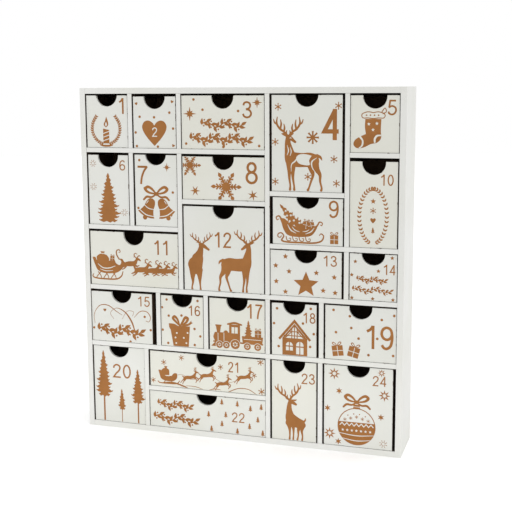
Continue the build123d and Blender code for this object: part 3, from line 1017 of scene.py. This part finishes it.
def bell(pen):
    """A hand bell that hangs from v 0."""
    pen.shape(
        (0, 0),
        [(-2.6, -1), (-4.2, -4), (-4.8, -9), (-6.6, -13.4), (-8.4, -15.6)],
        [(-5, -17), (0, -17.6), (5, -17), (8.4, -15.6)],
        [(6.6, -13.4), (4.8, -9), (4.2, -4), (2.6, -1), (0, 0)],
    )
    pen.dot(0, -18.4, 2.1)
    pen.brush(
        [(-7.4, -14.2, 0.7), (0, -15.8, 0.9), (7.4, -14.2, 0.7)],
        [(-4.9, -8.4, 0.6), (0, -9.6, 0.8), (4.9, -8.4, 0.6)],
        [(-3, -3.6, 0.7), (-3.5, -6.6, 0.5)],
        ink=False,
    )


def two_bells(pen):
    sparkle(pen.at(33.4, 57.4), 4.3)
    for half in pen.halves(22, 31, 1.1):
        bell(half.at(-3.6, -3.6, 1, -24))
    bow(pen.at(22, 31.4, 0.86))


def large_flakes(pen):
    snowflake(pen.at(43.9, 12.8), 15.5)
    snowflake(pen.at(7.8, 32.4), 11.5)
    pen.scatter(star, [(12.8, 8.2, 1, 30), (70.2, 5.4, 1, 10)], 5.2, 6, 0.32)


def loaded_sleigh(pen):
    tree = pen.at(28, 12, turn=40)
    fir(tree, 19, 33, 9)
    lights = (3.6, 8), (-2.2, 9), (0.8, 13), (4.2, 13.4), (-2.8, 15), (1.6, 18.4), (-1.4, 20.4), (0.4, 24.6)
    tree.scatter(star, lights, 1.4, ink=False)
    pen.scatter(gift, [(31.6, 15.6, 1, -8), (37.4, 15, 1, 12)], 6.2, 8.4)
    pen.shape(
        (6.6, 24.4),
        [(8.4, 20), (10.4, 14), (14, 9), (20, 7.4), (30, 7.4), (37, 9), (41.4, 14.4), (43.6, 20.4)],
        [(40, 17.6), (33, 15.4), (24, 16.2), (16.4, 19.6), (11.6, 23.8), (6.6, 24.4)],
    )
    pen.brush(
        [(8.4, 23.4, 1.6), (6, 26.2, 1.4), (3.4, 25, 1.1), (4.2, 22.6, 0.9), (5.8, 23.4, 0.7)],
        [(42.6, 18.4, 1.5), (44.8, 21.8, 1.3), (47.4, 20.8, 1), (46.6, 18.6, 0.8), (45.4, 19.2, 0.6)],
    )
    pen.brush(
        [(14.2, 18.6, 0.4), (17.4, 13.4, 1.1), (22.4, 10.6, 0.4)],
        [(18.6, 16.4, 0.4), (21.6, 13.4, 0.9), (26, 12, 0.3)],
        [(39.8, 16.4, 0.4), (36.6, 12.6, 1), (31.4, 10.2, 0.4)],
        [(35, 14.4, 0.4), (32.2, 12.8, 0.8), (28.6, 12.4, 0.3)],
        ink=False,
    )
    pen.brush([
        (8.4, 7.6, 0.8), (7, 6.2, 0.9), (5, 7, 1), (5.4, 9.6, 1.1), (8.4, 10.4, 1.2), (10.6, 7.6, 1.3),
        (8.6, 3.6, 1.5), (13, 2.2, 1.6), (26, 2, 1.6), (40, 2.2, 1.6), (46.6, 4.4, 1.5), (48.6, 8.8, 1.2),
        (46.2, 11, 1), (44.6, 9.4, 0.7),
    ])
    for k in range(4):
        strut = pen.at(15.4 + 6.2 * k, 4.6)
        strut.brush([(-2.6, 2.6, 0.9), (-1.4, -0.8, 0.9), (1.6, -1, 0.8), (1.8, 1.2, 0.7), (0.2, 1, 0.6)])
    gift(pen.at(58.5, 2), 7.6, 11)


def leaf_wreath(pen):
    for half in pen.halves(21.4, 28.9):
        sprig(half, arc(0, 0, (12.6, 25), -78, 98, 9.6), 3.1, 1.4, 42)
    middle = pen.at(21.4, 28.9)
    star(middle.at(0, 13.6), 2.6)
    flake(middle.at(0, 5), 2.8)
    heart(middle.at(0, -4), 5)
    little_fir(middle.at(0, -15.6), 5.6)


def long_team(pen):
    pen.shape(
        (1.8, 27.4),
        [(5, 27.2), (6.4, 24.6), (11, 23.8), (20, 24.4), (26, 25.2)],
        [(27.6, 22), (31.4, 20.6), (33, 24), (30.6, 27)],
        [
            (34.6, 26.4), (36.2, 21.6), (33.4, 16.4), (27, 12.4), (14, 11.8), (7.4, 14.4), (4.6, 19.4),
            (1.8, 27.4),
        ],
    )
    pen.brush(
        # Curl in front, and runner
        [
            (30.8, 26.4, 1.3), (28.4, 30.4, 1.3), (28.2, 34.4, 1.2), (30.8, 35.8, 1), (32.2, 33.8, 0.8),
            (30.6, 32.8, 0.6),
        ],
        [
            (2.4, 10.2, 0.9), (1.8, 8, 1.2), (4.6, 6.4, 1.4), (16, 5.8, 1.5), (28, 6.4, 1.5), (33, 9.6, 1.3),
            (34.6, 14, 0.9),
        ],
    )
    for u in (8, 16, 24):
        pen.at(u, 0).brush(
            [(-2.6, 6.4, 0.8), (-0.6, 9.2, 0.9), (2.4, 12.6, 0.9)],
            [(3.2, 6.4, 0.8), (2.4, 9.2, 0.9), (-0.2, 12.6, 0.9)],
        )
    pen.brush(
        [(7.6, 20.8, 0.5), (13, 17, 1), (20, 17, 1), (26.6, 19.4, 0.5)],
        [(9.8, 15.6, 0.4), (16, 14, 0.8), (24, 14.6, 0.4)],
        ink=False,
    )
    sack = pen.at(13.4, 23.6)
    sack.shape(
        (-6.4, 0),
        [(-7, 4), (-4, 6.8), (-1.2, 7.6)],
        [(-2.6, 9.6), (2.2, 9.6)],
        [(1, 7.6), (4.2, 6), (6.6, 2.6), (6, 0)],
    )
    sack.line([(-1.6, 7.6), (1.6, 7.6)], 0.7, ink=False)
    gift(pen.at(23.2, 24.4, turn=-6), 4.6, 6.4)
    team = (43, 15.2, 1.1), (54.6, 9.6, 1.12), (66, 9.8, 1.06), (75.2, 10.4, 1), (83.6, 11, 0.92)
    pen.scatter(team_deer, team)
    pen.brush([(34, 22.6, 0.5), (44, 21.6, 0.5), (57, 16.6, 0.5), (70, 16.8, 0.5), (86, 17.6, 0.4)])


def pair_of_deer(pen):
    turned_deer(pen.at(4.4, 0))
    standing_deer(pen.at(52.6, 0.2, 0.99))


def stars(pen):
    star(pen.at(34.5, 11.5), 12.5, inner=0.45)
    pen.scatter(star, [
        (14.7, 37.3), (5.3, 28.3), (18.2, 23.3), (44.4, 23.1), (61.3, 19.8), (5.8, 13.3), (14.7, 3.8),
        (50.9, 6.8), (62.2, 5.3),
    ], 2.7)


def light_garlands(pen):
    pen.scatter(star, [
        (5.4, 35.8), (39.1, 40.4), (2.1, 23.3), (26.7, 27.8), (2.4, 1.9), (21.7, 2), (40.3, 1.9),
    ], 2)
    garland(pen.at(7, 19.4), 26, 2, 3.8)
    garland(pen.at(3, 9.8), 35, 2, 4)


def loops_and_garland(pen):
    heart(pen.at(14.3, 31.6), 3.2)
    pen.brush(
        [(3, 17.5, 0.35), (2.6, 27, 0.5), (9, 36, 0.7), (18, 36.6, 0.9), (27, 31, 0.7), (33, 27.6, 0.4)],
        [(24, 23, 0.3), (20.4, 29, 0.4), (27, 34.4, 0.5), (36, 31, 1.1), (43, 22, 1.6), (46.6, 12, 1)],
        [
            (46, 26, 0.4), (53, 32.6, 0.7), (60, 32.4, 0.8), (63.6, 27, 0.7), (61.8, 22.6, 0.5),
            (58.6, 23.4, 0.5),
        ],
        [(33, 23.6, 0.3), (39, 32, 0.4), (45.6, 31.6, 0.4), (44, 27, 0.3)],
    )
    garland(pen.at(7, 11.4), 46, 2, 7.4)


def large_gift(pen):
    pen.fill([(12.8, 0), (28.6, 0), (30.2, 21), (9.2, 20.6)])
    pen.shape((8.4, 19), [(10, 16.4), (12.4, 14.6)], [(14, 18), (13, 21.6)], [(8.4, 22.4), (8.4, 19)])
    for u, v in ((16.3, 13.6), (14.9, 9), (23.6, 9.2), (27.6, 14.4), (15.6, 3.4), (26.2, 4.1)):
        pen.dot(u, v, 0.9, ink=False)
    knot = pen.at(19.6, 21)
    knot.brush(
        [(-0.4, 0.4, 1.4), (-4, 3.8, 2.2), (-7, 7.2, 2.6), (-5.2, 9, 2.6), (-2.2, 6, 2), (-0.4, 0.8, 1.4)],
        [(0.6, 0.4, 1.4), (3, 4, 2.2), (6, 8.6, 2.8), (8.4, 7.6, 2.8), (6.4, 3.6, 2.2), (0.8, 0.4, 1.4)],
    )
    knot.shape(
        (1, -0.6), [(5, 1.6), (9.4, 3.2), (12.2, 6.2)], [(12, 4.4)], [(13.6, 3.8)], [(9, 0.6), (1, -0.6)],
    )
    knot.shape(
        (-1, -0.6), [(-6, 1.6), (-11.6, 1.8)], [(-10.6, 0.4)], [(-11.4, -1.4)], [(-6, -0.8), (-1, -0.6)],
    )


def wheel(pen, radius):
    """A spoked wheel with a bare gap round it."""
    pen.dot(0, 0, radius + 0.5, ink=False)
    pen.dot(0, 0, radius)
    pen.dot(0, 0, 0.55 * radius, ink=False)
    for k in range(3):
        pen.at(0, 0, radius, 60 * k).line([(-0.6, 0), (0.6, 0)], 0.14)
    pen.dot(0, 0, 0.2 * radius)


def toy_train(pen):
    # Engine
    pen.shape((5.4, 9), [(3.8, 13), (5.4, 17.6)], [(21, 17.8)], [(21, 9)])
    for u in (8.6, 14.6):
        pen.line([(u, 9), (u, 17.6)], 0.6, ink=False)
    pen.fill([(7.6, 17), (10.6, 17), (11.8, 24.6), (6.4, 24.6)])
    pen.line([(6, 24.4), (12.2, 24.4)], 1.4)
    pen.fill(arc(16.6, 17.4, 2.4, 0, 180))
    pen.box(20, 8, 31, 26)
    pen.brush([(18.6, 26.2, 1.6), (25.5, 27.6, 2.2), (32.4, 26.2, 1.6)])
    pen.box(22.4, 17.4, 28.6, 23.6, ink=False)
    pen.line([(25.5, 17.4), (25.5, 23.6)], 0.6)
    pen.fill([(1.6, 3.6), (6.4, 8.8), (6.4, 3.6)])
    pen.line([(3.6, 8.4), (54, 8.4)], 1.5)
    # Wagon and its load
    pen.shape((33.6, 9), [(33.2, 12), (32.8, 15.4)], [(54, 15.4)], [(53.6, 12), (53.2, 9)])
    pen.line([(34.6, 12.4), (52.2, 12.4)], 0.6, ink=False)
    fir(pen.at(39.4, 14.4), 10.5, 16.6, 6)
    gift(pen.at(49, 15.2), 6.4, 8.6)
    pen.scatter(wheel, [(10, 5.4), (17, 5.4)], 3.4)
    wheel(pen.at(26, 6.6), 4.6)
    pen.scatter(wheel, [(38.2, 5.4), (48.6, 5.4)], 3.4)


def gabled_house(pen):
    house = pen.at(22.2, 0)
    house.fill([(-11.8, 0.2), (12.4, 0.2), (12.4, 17), (0, 31), (-11.8, 17)])
    house.line([(-15, 15.6), (0, 33.6), (15.2, 15.6)], 2.3)
    house.fill([(-9.6, 17), (9.8, 17), (0, 28.6)], ink=False)
    for beam in (
        [(-10.4, 19.4), (10.4, 19.4)], [(-6.6, 23.4), (6.6, 23.4)],
        [(-2.6, 16.8), (-2.6, 26.4)], [(2.6, 16.8), (2.6, 26.4)], [(0, 16.8), (0, 28.6)],
        [(-9, 17), (-2.6, 23.4)], [(9.2, 17), (2.6, 23.4)],
    ):
        house.line(beam, 0.9)
    for middle, half, sill, spring, rail in ((-5, 3.4, 5, 9.8, 9.2), (5.2, 3.6, 1.8, 10.4, 9)):
        head = arc(middle, spring, half, 180, 0)
        house.fill([(middle - half, sill), *head, (middle + half, sill)], ink=False)
        house.line([(middle, sill), (middle, spring + half)], 0.9)
        house.line([(middle - half, rail), (middle + half, rail)], 1.1)


def two_gifts(pen):
    pen.scatter(gift, [(12.7, 3.5, 1, 8), (25.9, 3.3, 1, -14)], 10.4, 13.4)


def three_firs(pen):
    for u, foot, width, height, tiers, stem in (
        (10.4, 25.4, 23, 48.2, 12, 1.7), (29.8, 12.8, 10.6, 22.2, 7, 0.7), (47.5, 20.9, 18.4, 35.6, 10, 1.4),
    ):
        fir(pen.at(u, foot), width, height, tiers)
        pen.line([(u, foot + 2), (u, 0)], stem)


def short_team(pen):
    for u, v, radius in (
        (14.4, 24.5, 2.8), (33.2, 30.5, 2.8), (3, 5.5, 2.6), (73.8, 24.5, 2.8), (114.4, 32.5, 3.2),
        (108, 19, 2.6), (115.4, 3.5, 3.4),
    ):
        flake(pen.at(u, v, turn=10), radius)
    sleigh = pen.at(8.6, 2.6, 0.58)
    sleigh.shape(
        (0, 24),
        [(5, 23.6), (7, 18), (15, 14), (24, 15)],
        [(29, 20), (34, 20)],
        [(34, 12), (27, 6), (14, 5.6), (5, 9), (2, 17), (0, 24)],
    )
    sleigh.brush([(-1, 4, 1.4), (2, 1.6, 1.8), (18, 1.4, 2.2), (34, 2.4, 2), (39, 7.6, 1.2)])
    sleigh.line([(10, 2), (13, 7)], 1.6)
    sleigh.line([(25, 2), (24, 7)], 1.6)
    sleigh.shape(
        (8, 15),
        [(5, 22), (9, 27), (12, 28)],
        [(11, 31), (17, 31)],
        [(15.6, 28), (19.6, 25), (20, 16)],
    )
    team = (42.6, 5.4, 0.9, 6), (60.5, 8.8, 0.9, 6), (76.6, 2.2, 0.86, 6), (98.6, 10.4, 0.9, 6)
    pen.scatter(leaping_deer, team)
    rein = [(26, 12), (34, 13.4), (43, 9.4), (56, 12.6), (66, 13.6), (74, 9.6), (84, 10), (94, 14)]
    pen.line(smooth(rein), 0.35)
    pen.brush(
        [(12, 3.4, 0.8), (24, 4.6, 1.4), (36, 1.6, 1.4), (40, 0.2, 0.8)],
        [(38, 2.6, 0.4), (48, 2.4, 0.6), (56, 0.2, 0.4)],
        [(62, 0.4, 0.6), (68, 2, 0.8), (74, 1.6, 0.4)],
        [(82, 0.4, 0.8), (92, 4.6, 0.8), (102, 4.6, 0.7), (110, 0.4, 0.6)],
    )


def garlands_and_firs(pen):
    pen.scatter(little_fir, [
        (75.9, 28.3), (91.8, 27.8), (105.1, 24.3), (116, 26.8), (62.1, 14.8), (79.9, 15.8), (112.6, 13.8),
        (75.9, 6.3), (104.2, 6.3), (65, 0.3), (91.8, 0.3), (117.5, 0.8),
    ], 6.4)
    garland(pen.at(9, 23.4), 34, 2, 5.6)
    garland(pen.at(4.6, 9.4), 44, 2, 6.4)


def single_deer(pen):
    proud_deer(pen.at(15.8, 0.5, 1.2))


def hung_bauble(pen):
    for u, v, radius in ((9.7, 69.6, 5.8), (54.2, 73.6, 3.8), (57.1, 52.3, 5.6), (5.6, 11.3, 5.8)):
        open_star(pen.at(u, v), radius)
    pen.scatter(star, [(3.4, 35.8), (54.1, 31.3), (14, 4), (14.4, 53.3)], 3.4, 6, 0.4)
    faint_flake(pen.at(56.6, 5.8), 3.6)
    ball = pen.at(31.2, 20)
    ball.dot(0, 0, 18)
    ball.fill(arc(0, 0, 17.2, 14, 166), ink=False)
    for k in range(5):
        u = -11 + 5.5 * k
        flake(ball.at(u, 9.4 - abs(u) * 0.28), 1.7)
    for k in range(4):
        u = -8.2 + 5.5 * k
        ball.dot(u, 13 - abs(u) * 0.3, 0.6)
    ball.line([(-16 + 32 * k / 14, 3 if k % 2 else 0.4) for k in range(15)], 0.9, ink=False)
    for k in range(7):
        star(ball.at(-13 + 26 * k / 6, -4), 1.5, ink=False)
    ball.brush(
        [(-16.4, -7.2, 0.5), (0, -8.8, 0.9), (16.4, -7.2, 0.5)],
        [(-13, -12.2, 0.5), (0, -13.8, 0.9), (13, -12.2, 0.5)],
        ink=False,
    )
    ball.fill([(-3.4, 17), (3.4, 17), (3, 21.4), (-3, 21.4)])
    ball.line([(-3.2, 19.2), (3.2, 19.2)], 0.5, ink=False)
    bow(ball.at(0, 23.6, 0.82))


PRINTS = {
    1: candle_in_leaves, 2: heart_and_dots, 3: glints_and_garlands, 4: large_stag, 5: stocking,
    6: single_fir, 7: two_bells, 8: large_flakes, 9: loaded_sleigh, 10: leaf_wreath,
    11: long_team, 12: pair_of_deer, 13: stars, 14: light_garlands, 15: loops_and_garland,
    16: large_gift, 17: toy_train, 18: gabled_house, 19: two_gifts, 20: three_firs,
    21: short_team, 22: garlands_and_firs, 23: single_deer, 24: hung_bauble,
}


def shapes_of(number):
    """All the shapes of one drawer's print, each on top of those before it."""
    shapes = []
    pen = Pen(shapes)
    PRINTS[number](pen)
    for u, v in DOTS.get(number, ()):
        pen.dot(u, v, DOT_RADIUS)
    weight = HEAVY_WEIGHT if number == HEAVY_NUMBER else DIGIT_WEIGHT
    numeral(pen, number, *NUMERALS[number], weight, ink=number != BARE_NUMBER)
    return shapes


# From drawings to thin solid prints
def page_outline(wide, tall):
    """The printable part of a front: inside its edges and round its notch."""
    low, right, top = PRINT_MARGIN, wide - PRINT_MARGIN, tall - PRINT_MARGIN
    reach = NOTCH_RADIUS + PRINT_MARGIN
    notch = arc(wide / 2, tall - (NOTCH_DEPTH - NOTCH_RADIUS), reach, 0, -180, 6)
    ends = [(wide / 2 + reach, top), *notch, (wide / 2 - reach, top)]
    return [(low, low), (right, low), (right, top), *ends, (low, top)]


def inside(shape, u, v):
    """Which of many points lie inside a closed shape."""
    found = np.zeros(len(u), bool)
    for (u0, v0), (u1, v1) in zip(shape, [*shape[1:], shape[0]]):
        if v0 != v1:
            level = (v < v0) != (v < v1)
            found ^= level & (u < u0 + (v - v0) * (u1 - u0) / (v1 - v0))
    return found


def inked_triangles(number, wide, tall):
    """The inked part of a page as flat points and triangles."""
    page, shapes = page_outline(wide, tall), shapes_of(number)
    points, edges = [], []
    for closed in (page, *(shape for shape, ink in shapes)):
        first, count = len(points), len(closed)
        points += [Vector(point) for point in closed]
        edges += [(first + k, first + (k + 1) % count) for k in range(count)]
    flat, _, triangles, *_ = delaunay_2d_cdt(points, edges, [], WHOLE_HULL, PRINT_MERGE)
    corners = np.array([[flat[corner] for corner in triangle] for triangle in triangles])
    u, v = corners.mean(axis=1).T
    inked = np.zeros(len(u), bool)
    for shape, ink in shapes:
        inked[inside(shape, u, v)] = ink
    inked &= inside(page, u, v)
    return flat, [triangle for triangle, ink in zip(triangles, inked) if ink]


def add_print(number):
    """One drawer's print: a thin solid on its front."""
    low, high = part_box(f"drawer_{number:02d}_front")
    flat, triangles = inked_triangles(number, (high.x - low.x) / MM, (high.z - low.z) / MM)
    used = sorted({corner for triangle in triangles for corner in triangle})
    order = {corner: k for k, corner in enumerate(used)}
    front = [tuple(order[corner] for corner in triangle) for triangle in triangles]
    count = len(used)
    back = [tuple(corner + count for corner in triangle[::-1]) for triangle in front]
    sides = {(a, b) for t in front for a, b in zip(t, (*t[1:], t[0]))}
    walls = [(b, a, a + count, b + count) for a, b in sorted(sides) if (b, a) not in sides]
    places = [
        (low.x + flat[corner].x * MM, low.y + depth * MM, low.z + flat[corner].y * MM)
        for depth in (-PRINT_PROUD, PRINT_SUNK) for corner in used
    ]
    name = f"drawer_{number:02d}_print"
    mesh = bpy.data.meshes.new(name)
    mesh.from_pydata(places, [], front + back + walls)
    mesh.materials.append(INK)
    piece = add_object(name, mesh)
    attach(piece, f"drawer_{number:02d}")


bpy.context.scene.view_settings.view_transform = "Standard"
set_camera()
set_light()
set_floor()
dress_cabinet()
dress_drawers()
for number in NUMBERS:
    add_print(number)
